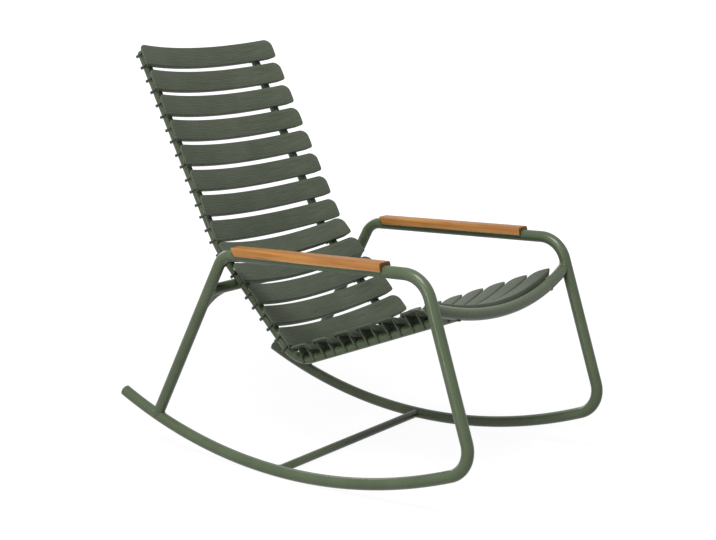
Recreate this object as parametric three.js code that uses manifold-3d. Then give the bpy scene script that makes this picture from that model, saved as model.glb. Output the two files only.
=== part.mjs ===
// Rocking lounge chair: two bent-tube side frames on rockers, slatted seat and back, wooden arm caps.
// Millimetres, +Z up. The chair faces -Y, and X = 0 is its middle plane.
// Places in the side view are written as (forward, up): forward is -Y, up is +Z above the floor.

import * as THREE from 'three';
import { mergeVertices } from 'three/addons/utils/BufferGeometryUtils.js';
import Module from 'manifold-3d';

const wasm = await Module();
wasm.setup();

const DEGREE = Math.PI / 180;

// Side frames, measured on the tube's centreline
const FRAME_TUBE = 27;
const FRAME_WALL = 2;
const FRAME_SPAN = 569;
const ROCKER_RADIUS = 1230;
const ROCKER_REAR_REACH = 504;
const FRONT_BOTTOM_BEND = 63;
const FRONT_LEG_LEAN = 17.75 * DEGREE;
const FRONT_CORNER_FORWARD = 378;
const FRONT_CORNER_UP = 513;
const FRONT_TOP_BEND = 66;
const ARM_FALL = 1.65 * DEGREE;
const REAR_CORNER_BACK = 172;
const REAR_TOP_BEND = 46;
const REAR_LEG_FOOT_BACK = 395;

// Seat and back rails, measured on the centreline from corner to corner
const RAIL_TUBE = 22;
const RAIL_WALL = 1.5;
const RAIL_SPAN = 393;
const SEAT_CORNER_BACK = 29;
const SEAT_CORNER_UP = 247.5;
const SEAT_RISE = 21.3 * DEGREE;
const SEAT_BEND = 69;
const LOWER_BACK_LENGTH = 338;
const LOWER_BACK_LEAN = 44.4 * DEGREE;
const BACK_BEND = 208;
const UPPER_BACK_LENGTH = 510;
const UPPER_BACK_LEAN = 27.7 * DEGREE;

// Cross tubes
const FRONT_TUBE_SAG = 50;
const FRONT_TUBE_SETBACK = 6;
const FRONT_TUBE_LIFT = 4.5;
const LOWER_TUBE = 20;
const LOWER_TUBE_BACK = 21;
const GUSSET_THICKNESS = 5;
const GUSSET_INBOARD = 88;
const GUSSET_DOWN = 92;
const GUSSET_END_DEPTH = 1;

// Slats
const SLAT_LENGTH = 474;
const SLAT_WIDTH = 51.5;
const SLAT_PLATE = 3.2;
const SLAT_REAR_RIM = 6;
const SLAT_FRONT_RIM = 14;
const SLAT_END_DEPTH = 4.5;
const SLAT_RIM_WIDTH = 3;
const SLAT_DISH_RADIUS = 810;
const SLAT_MIDDLE_RISE = 5.3;
const SLAT_REAR_CORNER = 21.5;
const SLAT_FRONT_CORNER = 6;

// Where the slats' middles lie: from the rails' top down, and from the seat corner up and forward
const UPPER_SLAT_PITCH = 64.8;
const UPPER_SLAT_INSET = 21.5;
const LOWER_SLAT_PITCH = 63;
const LOWER_SLAT_OFFSET = 56.5;
const SEAT_SLAT_PITCH = 64.5;
const SEAT_SLAT_OFFSET = 43.3;

// Clips that hold a slat on the rails
const CLIP_WALL = 3.2;
const CLIP_LENGTH = 4;
const CLIP_SPACING = 30;
const CLIP_FLARE = 12;
const BACK_CLIP_GRIP = 48 * DEGREE;
const BACK_CLIP_LIP = 2.6;
const SEAT_CLIP_GRIP = 38 * DEGREE;

// Arm caps and their screws
const CAP_LENGTH = 408.5;
const CAP_FRONT_LEAN = 2;
const CAP_REAR_LEAN = 13;
const CAP_FRONT_BACK = 98;
const CAP_WIDTH = 40;
const CAP_ABOVE_TUBE = 7;
const CAP_SKIRT_RISE = 1.2;
const CAP_SHOULDER = 6;
const CAP_LIP_CHAMFER = 2;
const SCREW_SHANK = 5;
const SCREW_HEAD = 9;
const SCREW_HEAD_HEIGHT = 2.6;
const SCREW_BITE = 3.5;
const SCREW_RECESS = 1;
const SCREW_INSET = 70;

// Plugs in the open tube ends
const PLUG_DOME = 4;
const PLUG_STEM = 16;
const PLUG_BORE_SPARE = 3;

// Clearance between pieces that touch, how far cutters run past what they cut, and the vertex weld
const GAP = 0.3;
const OVERRUN = 4;
const WELD = 0.0005;

// Facet counts
const TUBE_SIDES = 16;
const RAIL_SIDES = 12;
const ROCKER_STEPS = 14;
const TIGHT_BEND_STEPS = 7;
const SEAT_BEND_STEPS = 6;
const BACK_BEND_STEPS = 4;
const CROSS_STEPS = 12;
const SLAT_MIDDLE_STEPS = 5;
const CLIP_GRIP_STEPS = 9;
const CLIP_SIDE_STEPS = 1;
const CAP_STEPS = 4;
const GUSSET_STEPS = 6;
const ROUND_SIDES = 12;
const DOME_STEPS = 2;

// Radii and half spans that the pieces share
const FRAME_R = FRAME_TUBE / 2;
const RAIL_R = RAIL_TUBE / 2;
const LOWER_R = LOWER_TUBE / 2;
const FRAME_X = FRAME_SPAN / 2;
const RAIL_X = RAIL_SPAN / 2;
const SIDES = [['left', 1], ['right', -1]];

// Materials
function finish(color, roughness, metalness) {
  return new THREE.MeshStandardMaterial({ color, roughness, metalness });
}
const FRAME_PAINT = finish(0x565f4b, 0.5, 0.3);
const SLAT_PLASTIC = finish(0x5b6253, 0.65, 0);
const WOOD = finish(0xc88a55, 0.6, 0);
const PLUG_PLASTIC = finish(0x33382e, 0.7, 0);
const STEEL = finish(0xb4b6b8, 0.35, 0.9);

// Side-view geometry: points and directions are Vector2(forward, up)
function side(forward, up) {
  return new THREE.Vector2(forward, up);
}

function heading(angle) {
  return side(Math.cos(angle), Math.sin(angle));
}

function along(from, direction, distance) {
  return from.clone().addScaledVector(direction, distance);
}

function leftOf(direction) {
  return side(-direction.y, direction.x);
}

function space(x, point) {
  return new THREE.Vector3(x, -point.x, point.y);
}

// Where the line through a along d meets the line through b along e
function crossing(a, d, b, e) {
  const gap = b.clone().sub(a);
  return along(a, d, gap.cross(e) / d.cross(e));
}

// Stations of a round stretch about a centre, from one polar angle to another
function arcStations(centre, radius, from, to, steps) {
  const turn = Math.sign(to - from);
  const stations = [];
  for (let i = 0; i <= steps; i += 1) {
    const angle = from + (to - from) * i / steps;
    const out = heading(angle);
    stations.push({ point: along(centre, out, radius), direction: leftOf(out).multiplyScalar(turn) });
  }
  return stations;
}

// The left-hand bend that rounds a corner between two directions of travel
function bend(corner, before, after, radius) {
  const turn = Math.atan2(before.cross(after), before.dot(after));
  const start = along(corner, before, -radius * Math.tan(turn / 2));
  const centre = along(start, leftOf(before), radius);
  const from = Math.atan2(before.y, before.x) - Math.PI / 2;
  return { centre, radius, from, to: from + turn };
}

function bendStations(piece, steps) {
  return arcStations(piece.centre, piece.radius, piece.from, piece.to, steps);
}

// A curve through given stations, so that an extruded tube has one ring at each of them
class StationCurve extends THREE.Curve {
  constructor(points, directions) {
    super();
    this.points = points;
    this.directions = directions;
  }

  stationAt(share) {
    return Math.round(share * (this.points.length - 1));
  }

  getPointAt(share, target = new THREE.Vector3()) {
    return target.copy(this.points[this.stationAt(share)]);
  }

  getTangentAt(share, target = new THREE.Vector3()) {
    return target.copy(this.directions[this.stationAt(share)]).normalize();
  }
}

function circleShape(radius) {
  return new THREE.Shape().absarc(0, 0, radius, 0, 2 * Math.PI, false);
}

function tubeAlong(points, directions, radius, sides) {
  return new THREE.ExtrudeGeometry(circleShape(radius), {
    steps: points.length - 1,
    curveSegments: sides / 2,
    extrudePath: new StationCurve(points, directions),
  });
}

// A tube in the side plane at a given x, through side-view stations
function sideTube(x, stations, radius, sides) {
  const points = stations.map((station) => space(x, station.point));
  const directions = stations.map((station) => space(0, station.direction));
  return tubeAlong(points, directions, radius, sides);
}

function straightTube(from, to, radius, sides) {
  const direction = to.clone().sub(from);
  return tubeAlong([from, to], [direction, direction], radius, sides);
}

// Solids for cutting and joining
function toSolid(geometry) {
  const plain = geometry.clone();
  plain.deleteAttribute('normal');
  plain.deleteAttribute('uv');
  const welded = mergeVertices(plain, WELD);
  return new wasm.Manifold(new wasm.Mesh({
    numProp: 3,
    vertProperties: new Float32Array(welded.attributes.position.array),
    triVerts: new Uint32Array(welded.index.array),
  }));
}

function toGeometry(solid) {
  const mesh = solid.getMesh();
  const geometry = new THREE.BufferGeometry();
  geometry.setAttribute('position', new THREE.BufferAttribute(new Float32Array(mesh.vertProperties), 3));
  geometry.setIndex(new THREE.BufferAttribute(new Uint32Array(mesh.triVerts), 1));
  geometry.computeVertexNormals();
  return geometry;
}

// The side frame's centreline
const rockerCentre = side(0, FRAME_R + ROCKER_RADIUS);
const frontCorner = side(FRONT_CORNER_FORWARD, FRONT_CORNER_UP);
const legUp = heading(Math.PI / 2 + FRONT_LEG_LEAN);
const armBack = heading(Math.PI + ARM_FALL);
const rearCorner = along(frontCorner, armBack, (FRONT_CORNER_FORWARD + REAR_CORNER_BACK) / Math.cos(ARM_FALL));
const rearFoot = rockerPoint(-REAR_LEG_FOOT_BACK);
const rearLegDown = rearFoot.clone().sub(rearCorner).normalize();
const frontTopBend = bend(frontCorner, legUp, armBack, FRONT_TOP_BEND);
const rearTopBend = bend(rearCorner, armBack, rearLegDown, REAR_TOP_BEND);
const frontBottomBend = rockerToLegBend();

function rockerPoint(forward) {
  const drop = Math.sqrt(ROCKER_RADIUS ** 2 - forward ** 2);
  return side(forward, rockerCentre.y - drop);
}

// The bend that touches both the rocker's arc and the front leg's line
function rockerToLegBend() {
  const inward = leftOf(legUp);
  const onOffsetLine = along(frontCorner, inward, FRONT_BOTTOM_BEND).sub(rockerCentre);
  const reach = ROCKER_RADIUS - FRONT_BOTTOM_BEND;
  const b = onOffsetLine.dot(legUp);
  const c = onOffsetLine.lengthSq() - reach ** 2;
  const toCentre = along(onOffsetLine, legUp, -b - Math.sqrt(b * b - c));
  return {
    centre: toCentre.clone().add(rockerCentre),
    radius: FRONT_BOTTOM_BEND,
    from: Math.atan2(toCentre.y, toCentre.x),
    to: FRONT_LEG_LEAN,
  };
}

function rockerStations() {
  const from = -Math.PI / 2 - Math.asin(ROCKER_REAR_REACH / ROCKER_RADIUS);
  return arcStations(rockerCentre, ROCKER_RADIUS, from, frontBottomBend.from, ROCKER_STEPS);
}

function sideFrameStations() {
  return [
    ...rockerStations(),
    ...bendStations(frontBottomBend, TIGHT_BEND_STEPS).slice(1),
    ...bendStations(frontTopBend, TIGHT_BEND_STEPS),
    ...bendStations(rearTopBend, TIGHT_BEND_STEPS),
  ];
}

// The rear bend runs on as the rear leg, straight down to the top of the rocker
function sideFrameSolid(x, radius) {
  const stations = sideFrameStations();
  const last = stations[stations.length - 1];
  const leg = straightTube(space(x, last.point), space(x, rearFoot), radius, TUBE_SIDES);
  return toSolid(sideTube(x, stations, radius, TUBE_SIDES)).add(toSolid(leg));
}

// Places along the arm, measured on its centreline from the front corner
const capFront = along(frontCorner, armBack, CAP_FRONT_BACK);
const armUp = leftOf(armBack).negate();
const screwPlaces = [['front', SCREW_INSET], ['rear', CAP_LENGTH - SCREW_INSET]];

// Height of the screw head's seat over the arm tube's centreline, inside the tube's underside
const screwSeat = SCREW_RECESS + SCREW_HEAD_HEIGHT - FRAME_R;

function screwPoint(inset) {
  return along(capFront, armBack, inset);
}

// A round hole square to the arm, between two heights over the arm tube's centreline
function armHole(x, inset, low, high, radius) {
  const middle = screwPoint(inset);
  const from = space(x, along(middle, armUp, low));
  const to = space(x, along(middle, armUp, high));
  return toSolid(straightTube(from, to, radius, ROUND_SIDES));
}

// The bore for a plug, from the tube's open end inward
function plugBore(x, end, inward, outerRadius, wall) {
  const depth = PLUG_STEM + PLUG_BORE_SPARE;
  const mouth = space(x, along(end, inward, -OVERRUN));
  return toSolid(straightTube(mouth, space(x, along(end, inward, depth)), outerRadius - wall, ROUND_SIDES));
}

function makeSideFrame(x) {
  const rear = sideFrameStations()[0];
  let solid = sideFrameSolid(x, FRAME_R).subtract(plugBore(x, rear.point, rear.direction, FRAME_R, FRAME_WALL));
  for (const [, inset] of screwPlaces) {
    const below = -FRAME_R - OVERRUN;
    solid = solid.subtract(armHole(x, inset, below, FRAME_R + OVERRUN, SCREW_SHANK / 2 + GAP));
    solid = solid.subtract(armHole(x, inset, below, screwSeat + GAP, SCREW_HEAD / 2 + GAP));
  }
  return toGeometry(solid);
}

// The rails' centreline: down the upper back, down the lower back, then forward along the seat
const seatCorner = side(-SEAT_CORNER_BACK, SEAT_CORNER_UP);
const seatForward = heading(SEAT_RISE);
const lowerDown = heading(-Math.PI / 2 + LOWER_BACK_LEAN);
const upperDown = heading(-Math.PI / 2 + UPPER_BACK_LEAN);
const backCorner = along(seatCorner, lowerDown, -LOWER_BACK_LENGTH);
const railTop = along(backCorner, upperDown, -UPPER_BACK_LENGTH);
const backBend = bend(backCorner, upperDown, lowerDown, BACK_BEND);
const seatBend = bend(seatCorner, lowerDown, seatForward, SEAT_BEND);

// The front cross tube hangs from the front legs. Its bow carries the rails' front ends, and at the
// rails its centreline lies a little above theirs.
const frontBowRadius = (FRAME_X ** 2 + FRONT_TUBE_SAG ** 2) / (2 * FRONT_TUBE_SAG);
const seatUp = leftOf(seatForward);

function frontBowRise(x) {
  return frontBowRadius - Math.sqrt(frontBowRadius ** 2 - x ** 2);
}

const railRise = FRONT_TUBE_SAG - frontBowRise(RAIL_X) + FRONT_TUBE_LIFT;
const frontTubeLine = along(frontCorner, leftOf(legUp), FRONT_TUBE_SETBACK);
const frontTubeEnd = crossing(along(seatCorner, seatUp, railRise), seatForward, frontTubeLine, legUp);
const frontTubeMiddle = along(frontTubeEnd, seatUp, -FRONT_TUBE_SAG);
const railFront = along(frontTubeEnd, seatUp, -railRise);

function railStations(end) {
  return [
    { point: railTop, direction: upperDown },
    ...bendStations(backBend, BACK_BEND_STEPS),
    ...bendStations(seatBend, SEAT_BEND_STEPS),
    { point: end, direction: seatForward },
  ];
}

function frontTubeGeometry(radius) {
  const points = [];
  const directions = [];
  const reach = Math.asin(FRAME_X / frontBowRadius);
  for (let i = 0; i <= CROSS_STEPS; i += 1) {
    const angle = reach * (2 * i / CROSS_STEPS - 1);
    const x = frontBowRadius * Math.sin(angle);
    points.push(space(x, along(frontTubeMiddle, seatUp, frontBowRise(x))));
    const rising = seatUp.clone().multiplyScalar(Math.sin(angle));
    directions.push(space(Math.cos(angle), rising));
  }
  return tubeAlong(points, directions, radius, TUBE_SIDES);
}

// Both side frames with the clearance added, for cutting the tubes that end on them
const frameCutters = sideFrameSolid(FRAME_X, FRAME_R + GAP).add(sideFrameSolid(-FRAME_X, FRAME_R + GAP));

function largestPiece(solid) {
  const pieces = solid.decompose();
  pieces.sort((a, b) => b.volume() - a.volume());
  return pieces[0];
}

function makeRail(x) {
  const tube = toSolid(sideTube(x, railStations(railFront), RAIL_R, RAIL_SIDES));
  const coped = largestPiece(tube.subtract(toSolid(frontTubeGeometry(FRAME_R + GAP))));
  return toGeometry(coped.subtract(plugBore(x, railTop, upperDown, RAIL_R, RAIL_WALL)));
}

function makeFrontTube() {
  return toGeometry(largestPiece(toSolid(frontTubeGeometry(FRAME_R)).subtract(frameCutters)));
}

// The rear cross tube runs from rear leg to rear leg, against the back of both rails
const rearTubeOffset = along(seatCorner, leftOf(lowerDown), -(RAIL_R + FRAME_R + GAP));
const rearTube = crossing(rearTubeOffset, lowerDown, rearCorner, rearLegDown);

function straightCross(place, radius) {
  return toSolid(straightTube(space(-FRAME_X, place), space(FRAME_X, place), radius, TUBE_SIDES));
}

function makeRearTube() {
  return toGeometry(largestPiece(straightCross(rearTube, FRAME_R).subtract(frameCutters)));
}

// The lower cross tube joins the rockers near their lowest point
const lowerTube = rockerPoint(-LOWER_TUBE_BACK);

function makeLowerTube() {
  return toGeometry(largestPiece(straightCross(lowerTube, LOWER_R).subtract(frameCutters)));
}

// A web welded in the corner below the rear cross tube. Its free edge is hollow, and runs into the
// edges of the tube and the leg.
function makeGusset(x) {
  const inboard = -Math.sign(x);
  const edge = FRAME_R + GUSSET_END_DEPTH;
  const outline = new THREE.Shape();
  outline.moveTo(0, 0);
  outline.lineTo(GUSSET_INBOARD, 0);
  outline.lineTo(GUSSET_INBOARD, -edge);
  outline.quadraticCurveTo(edge, -edge, edge, -GUSSET_DOWN);
  outline.lineTo(0, -GUSSET_DOWN);
  outline.closePath();
  const plate = new THREE.ExtrudeGeometry(outline, {
    depth: GUSSET_THICKNESS,
    curveSegments: GUSSET_STEPS,
    bevelEnabled: false,
  });
  plate.translate(0, 0, -GUSSET_THICKNESS / 2);
  const across = new THREE.Vector3(inboard, 0, 0);
  const up = space(0, rearLegDown).negate();
  const frame = new THREE.Matrix4().makeBasis(across, up, across.clone().cross(up));
  frame.setPosition(space(x, rearTube));
  plate.applyMatrix4(frame);
  const cut = toSolid(plate).subtract(frameCutters).subtract(straightCross(rearTube, FRAME_R + GAP));
  return toGeometry(largestPiece(cut));
}

// A domed plug: the dome sits on the tube's end and the stem fills its bore
function makePlug(outerRadius, wall) {
  const profile = [];
  for (let i = 0; i <= DOME_STEPS; i += 1) {
    const angle = Math.PI / 2 * (1 - i / DOME_STEPS);
    profile.push(side(outerRadius * Math.cos(angle), GAP + PLUG_DOME * Math.sin(angle)));
  }
  const stem = outerRadius - wall - GAP;
  profile.push(side(stem, GAP));
  profile.push(side(stem, -PLUG_STEM));
  profile.push(side(0, -PLUG_STEM));
  profile.reverse();
  profile[0].x = 0;
  profile[profile.length - 1].x = 0;
  return new THREE.LatheGeometry(profile, ROUND_SIDES);
}

// Slats. Own frame: x across the chair, y up the back (rearward on the seat), z toward the sitter;
// the origin lies on the rails' centreline in the chair's middle plane.
function dish(x) {
  return SLAT_DISH_RADIUS - Math.sqrt(SLAT_DISH_RADIUS ** 2 - x ** 2);
}

// Distances from a slat's end at which its outline has a station
const endShares = [0, 0.13, 0.5, 1];

function slatStationX(index) {
  const last = 2 * (endShares.length - 1) + SLAT_MIDDLE_STEPS;
  const mirrored = last - index;
  const half = SLAT_LENGTH / 2;
  if (index < endShares.length) return -half + SLAT_REAR_CORNER * endShares[index];
  if (mirrored < endShares.length) return half - SLAT_REAR_CORNER * endShares[mirrored];
  const share = (index - endShares.length + 1) / SLAT_MIDDLE_STEPS;
  return (half - SLAT_REAR_CORNER) * (2 * share - 1);
}

// Half width of the outline at a distance from its end, for a given corner radius
function outlineEdge(fromEnd, corner) {
  if (fromEnd >= corner) return SLAT_WIDTH / 2;
  return SLAT_WIDTH / 2 - corner + Math.sqrt(corner ** 2 - (corner - fromEnd) ** 2);
}

// A box bent to the slat's outline and dish. Its faces lie between two depths under the surface.
function bentPlate(inset, topDepth, bottomDepthAt) {
  const steps = 2 * (endShares.length - 1) + SLAT_MIDDLE_STEPS;
  const box = new THREE.BoxGeometry(1, 1, 1, steps, 1, 1);
  const places = box.attributes.position;
  const shrink = (SLAT_LENGTH - 2 * inset) / SLAT_LENGTH;
  for (let i = 0; i < places.count; i += 1) {
    const index = Math.round((places.getX(i) + 0.5) * steps);
    const outerX = slatStationX(index);
    const x = outerX * shrink;
    const fromEnd = SLAT_LENGTH / 2 - Math.abs(outerX);
    const rearward = places.getY(i) > 0;
    const edge = outlineEdge(fromEnd, rearward ? SLAT_REAR_CORNER : SLAT_FRONT_CORNER) - inset;
    const surface = SLAT_MIDDLE_RISE + dish(x);
    const depth = places.getZ(i) > 0 ? topDepth : bottomDepthAt(fromEnd, rearward);
    places.setXYZ(i, x, rearward ? edge : -edge, surface - depth);
  }
  return toSolid(box);
}

// The rim hangs deepest along the front edge
function rimDepth(fromEnd, rearward) {
  if (fromEnd < SLAT_FRONT_CORNER) return SLAT_END_DEPTH;
  return rearward ? SLAT_REAR_RIM : SLAT_FRONT_RIM;
}

function slatShell() {
  const outer = bentPlate(0, 0, rimDepth);
  const hollow = bentPlate(SLAT_RIM_WIDTH, SLAT_PLATE, () => SLAT_FRONT_RIM + OVERRUN);
  return outer.subtract(hollow);
}

// Height of the middle of a slat's plate over the rails' centreline
function plateLevel(x) {
  return SLAT_MIDDLE_RISE + dish(x) - SLAT_PLATE / 2;
}

// Points of an arc about the origin
function arcPoints(radius, from, to, steps) {
  return arcStations(side(0, 0), radius, from, to, steps).map((station) => station.point);
}

// A clip seen along the rail: a web that widens to the slat, and two arms round the rail that end in
// lips. Own x is across the chair; outward is 1 or -1, away from the chair's middle.
function clipShape(outward, grip, lip) {
  const facet = (Math.PI + 2 * grip) / CLIP_GRIP_STEPS;
  const inner = (RAIL_R + GAP) / Math.cos(facet / 2);
  const outer = inner + CLIP_WALL;
  const reach = outer + CLIP_FLARE;
  const tip = heading(-grip).multiplyScalar(outer + lip);
  const points = [
    side(reach, plateLevel(RAIL_X + reach)),
    ...arcPoints(outer, 0, -grip / 2, CLIP_SIDE_STEPS),
    tip,
    ...arcPoints(inner, -grip, Math.PI + grip, CLIP_GRIP_STEPS),
    side(-tip.x, tip.y),
    ...arcPoints(outer, Math.PI + grip / 2, Math.PI, CLIP_SIDE_STEPS),
    side(-reach, plateLevel(RAIL_X - reach)),
  ];
  return new THREE.Shape(points.map((point) => side(outward * point.x, point.y)));
}

function clipGeometry(outward, grip, lip) {
  const shape = clipShape(outward, grip, lip);
  const geometry = new THREE.ExtrudeGeometry(shape, { depth: CLIP_LENGTH, bevelEnabled: false });
  geometry.translate(0, 0, -CLIP_LENGTH / 2);
  geometry.rotateX(Math.PI / 2);
  return geometry;
}

// The rail's centreline point and heading beside a point of its corner-to-corner line
function ontoRail(point, direction) {
  for (const piece of [backBend, seatBend]) {
    const spoke = point.clone().sub(piece.centre);
    const angle = Math.atan2(spoke.y, spoke.x);
    if (angle > piece.from && angle < piece.to) {
      const out = heading(angle);
      return { point: along(piece.centre, out, piece.radius), direction: leftOf(out) };
    }
  }
  return { point, direction };
}

function tilt(direction) {
  return Math.atan2(-direction.y, direction.x);
}

// The place of a slat's own frame in the chair
function slatFrame(origin, direction) {
  const frame = new THREE.Matrix4().makeRotationX(tilt(direction));
  return frame.setPosition(space(0, origin));
}

// The clips on the back end in lips behind the rails; those on the seat end flush below them
const BACK_CLIP = { grip: BACK_CLIP_GRIP, lip: BACK_CLIP_LIP };
const SEAT_CLIP = { grip: SEAT_CLIP_GRIP, lip: 0 };

function makeSlat({ origin, direction, clip }) {
  const toOwnFrame = slatFrame(origin, direction).invert();
  let bent = false;
  let solid = slatShell();
  for (const step of [-CLIP_SPACING / 2, CLIP_SPACING / 2]) {
    const place = ontoRail(along(origin, direction, step), direction);
    const offset = place.point.clone().sub(origin);
    bent = bent || place.direction !== direction;
    for (const outward of [1, -1]) {
      const geometry = clipGeometry(outward, clip.grip, clip.lip);
      geometry.rotateX(tilt(place.direction) - tilt(direction));
      geometry.translate(outward * RAIL_X, -offset.dot(direction), offset.dot(leftOf(direction)));
      solid = solid.add(toSolid(geometry));
    }
  }
  if (!bent) return toGeometry(solid);
  for (const x of [-RAIL_X, RAIL_X]) {
    const rail = sideTube(x, railStations(railFront), RAIL_R + GAP, RAIL_SIDES);
    solid = solid.subtract(toSolid(rail.applyMatrix4(toOwnFrame)));
  }
  return toGeometry(solid);
}

// Distances of as many slats as a stretch holds, when the first one's middle lies at a given inset
function slatDistances(stretch, inset, pitch) {
  const count = 1 + Math.floor((stretch - inset - SLAT_WIDTH / 2) / pitch);
  return Array.from({ length: count }, (_, i) => inset + i * pitch);
}

// Where each slat sits: its point on the corner-to-corner line, the line's heading, and its clips
function slatPlaces() {
  const lipOverTube = SLAT_MIDDLE_RISE - SLAT_FRONT_RIM + frontBowRise(RAIL_X) - FRONT_TUBE_LIFT;
  const tubeReach = Math.sqrt(Math.max(0, (FRAME_R + GAP) ** 2 - lipOverTube ** 2));
  const seatLength = railFront.distanceTo(seatCorner) - tubeReach;
  const upper = slatDistances(UPPER_BACK_LENGTH, UPPER_SLAT_INSET, UPPER_SLAT_PITCH).map((distance) => (
    { name: 'back_slat', origin: along(railTop, upperDown, distance), direction: upperDown, clip: BACK_CLIP }
  ));
  const lower = slatDistances(LOWER_BACK_LENGTH, LOWER_SLAT_OFFSET, LOWER_SLAT_PITCH).map((distance) => (
    { name: 'back_slat', origin: along(seatCorner, lowerDown, -distance), direction: lowerDown, clip: BACK_CLIP }
  ));
  const seat = slatDistances(seatLength, SEAT_SLAT_OFFSET, SEAT_SLAT_PITCH).map((distance) => (
    { name: 'seat_slat', origin: along(seatCorner, seatForward, distance), direction: seatForward, clip: SEAT_CLIP }
  ));
  return [...upper, ...lower.reverse(), ...seat];
}

// The wooden arm cap's section: own x across, y up from the tube's centre
function capShape() {
  const half = CAP_WIDTH / 2;
  const top = FRAME_R + CAP_ABOVE_TUBE;
  const groove = FRAME_R + GAP;
  const start = Math.asin(CAP_SKIRT_RISE / groove);
  const shape = new THREE.Shape();
  shape.moveTo(groove * Math.cos(start), CAP_SKIRT_RISE);
  shape.lineTo(half - CAP_LIP_CHAMFER, CAP_SKIRT_RISE);
  shape.lineTo(half, CAP_SKIRT_RISE + CAP_LIP_CHAMFER);
  shape.absarc(half - CAP_SHOULDER, top - CAP_SHOULDER, CAP_SHOULDER, 0, Math.PI / 2, false);
  shape.absarc(-half + CAP_SHOULDER, top - CAP_SHOULDER, CAP_SHOULDER, Math.PI / 2, Math.PI, false);
  shape.lineTo(-half, CAP_SKIRT_RISE + CAP_LIP_CHAMFER);
  shape.lineTo(-half + CAP_LIP_CHAMFER, CAP_SKIRT_RISE);
  shape.absarc(0, 0, groove, Math.PI - start, start, true);
  return shape;
}

// The cap in its own frame: x across, y up, z back along the arm from the cap's front end. Both ends
// lean back, so that the top stands behind the skirt.
function makeArmCap() {
  const geometry = new THREE.ExtrudeGeometry(capShape(), {
    depth: CAP_LENGTH,
    curveSegments: CAP_STEPS,
    bevelEnabled: false,
  });
  const places = geometry.attributes.position;
  const height = FRAME_R + CAP_ABOVE_TUBE - CAP_SKIRT_RISE;
  for (let i = 0; i < places.count; i += 1) {
    const lean = places.getZ(i) > 0 ? CAP_REAR_LEAN : CAP_FRONT_LEAN;
    const share = (places.getY(i) - CAP_SKIRT_RISE) / height - 0.5;
    places.setZ(i, places.getZ(i) + share * lean);
  }
  let solid = toSolid(geometry);
  for (const [, inset] of screwPlaces) {
    const from = new THREE.Vector3(0, 0, inset);
    const to = new THREE.Vector3(0, FRAME_R + GAP + SCREW_BITE + GAP, inset);
    solid = solid.subtract(toSolid(straightTube(from, to, SCREW_SHANK / 2 + GAP, ROUND_SIDES)));
  }
  return toGeometry(solid);
}

// A screw up through the arm tube into the cap. Own y is its axis; the origin is at the head's seat.
function makeScrew() {
  const shank = SCREW_SHANK / 2;
  const head = SCREW_HEAD / 2;
  const tip = FRAME_R + GAP + SCREW_BITE - screwSeat;
  const profile = [
    side(0, -SCREW_HEAD_HEIGHT),
    side(head - SCREW_HEAD_HEIGHT / 2, -SCREW_HEAD_HEIGHT),
    side(head, -SCREW_HEAD_HEIGHT / 2),
    side(head, 0),
    side(shank, 0),
    side(shank, tip),
    side(0, tip),
  ];
  return new THREE.LatheGeometry(profile, ROUND_SIDES);
}

// Assembly
const chair = new THREE.Group();
chair.name = 'rocking_chair';
const pieces = new THREE.Group();
chair.add(pieces);

function place(name, geometry, material) {
  const mesh = new THREE.Mesh(geometry, material);
  mesh.name = name;
  pieces.add(mesh);
  return mesh;
}

// Turns a mesh so that its own y axis points along a side-view direction
function aim(mesh, x, at, direction) {
  mesh.position.copy(space(x, at));
  mesh.quaternion.setFromUnitVectors(new THREE.Vector3(0, 1, 0), space(0, direction).normalize());
}

const rockerEnd = rockerStations()[0];
for (const [name, sign] of SIDES) {
  const x = sign * FRAME_X;
  place(`side_frame_${name}`, makeSideFrame(x), FRAME_PAINT);
  place(`rail_${name}`, makeRail(sign * RAIL_X), FRAME_PAINT);
  place(`rear_gusset_${name}`, makeGusset(x), FRAME_PAINT);
  const rockerPlug = place(`rocker_plug_${name}`, makePlug(FRAME_R, FRAME_WALL), PLUG_PLASTIC);
  aim(rockerPlug, x, rockerEnd.point, rockerEnd.direction.clone().negate());
  const railPlug = place(`rail_plug_${name}`, makePlug(RAIL_R, RAIL_WALL), PLUG_PLASTIC);
  aim(railPlug, sign * RAIL_X, railTop, upperDown.clone().negate());
}

place('front_cross_tube', makeFrontTube(), FRAME_PAINT);
place('rear_cross_tube', makeRearTube(), FRAME_PAINT);
place('lower_cross_tube', makeLowerTube(), FRAME_PAINT);

const counts = {};
for (const slatPlace of slatPlaces()) {
  const { name } = slatPlace;
  counts[name] = (counts[name] ?? 0) + 1;
  const number = String(counts[name]).padStart(2, '0');
  const slat = place(`${name}_${number}`, makeSlat(slatPlace), SLAT_PLASTIC);
  slat.applyMatrix4(slatFrame(slatPlace.origin, slatPlace.direction));
}

for (const [name, sign] of SIDES) {
  const x = sign * FRAME_X;
  const cap = place(`arm_cap_${name}`, makeArmCap(), WOOD);
  const up = space(0, armUp);
  const back = space(0, armBack);
  cap.setRotationFromMatrix(new THREE.Matrix4().makeBasis(up.clone().cross(back), up, back));
  cap.position.copy(space(x, capFront));
  for (const [where, inset] of screwPlaces) {
    const seat = along(screwPoint(inset), armUp, screwSeat);
    const screw = place(`arm_screw_${name}_${where}`, makeScrew(), STEEL);
    aim(screw, x, seat, armUp);
  }
}

// The assembly stands on the floor with its box centred over the origin
const box = new THREE.Box3().setFromObject(chair);
const centre = box.getCenter(new THREE.Vector3());
pieces.position.set(-centre.x, -centre.y, -box.min.z);

export default chair;
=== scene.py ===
"""Rocking lounge chair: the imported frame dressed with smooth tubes, welds, slats and arm caps.

Metres, +Z up. The chair faces -Y and X = 0 is its middle plane. Places in the side view are
(forward, up) pairs: forward is -Y, up is the height above the floor.
"""

import math

import bmesh
import bpy
from mathutils import Matrix, Vector


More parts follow.
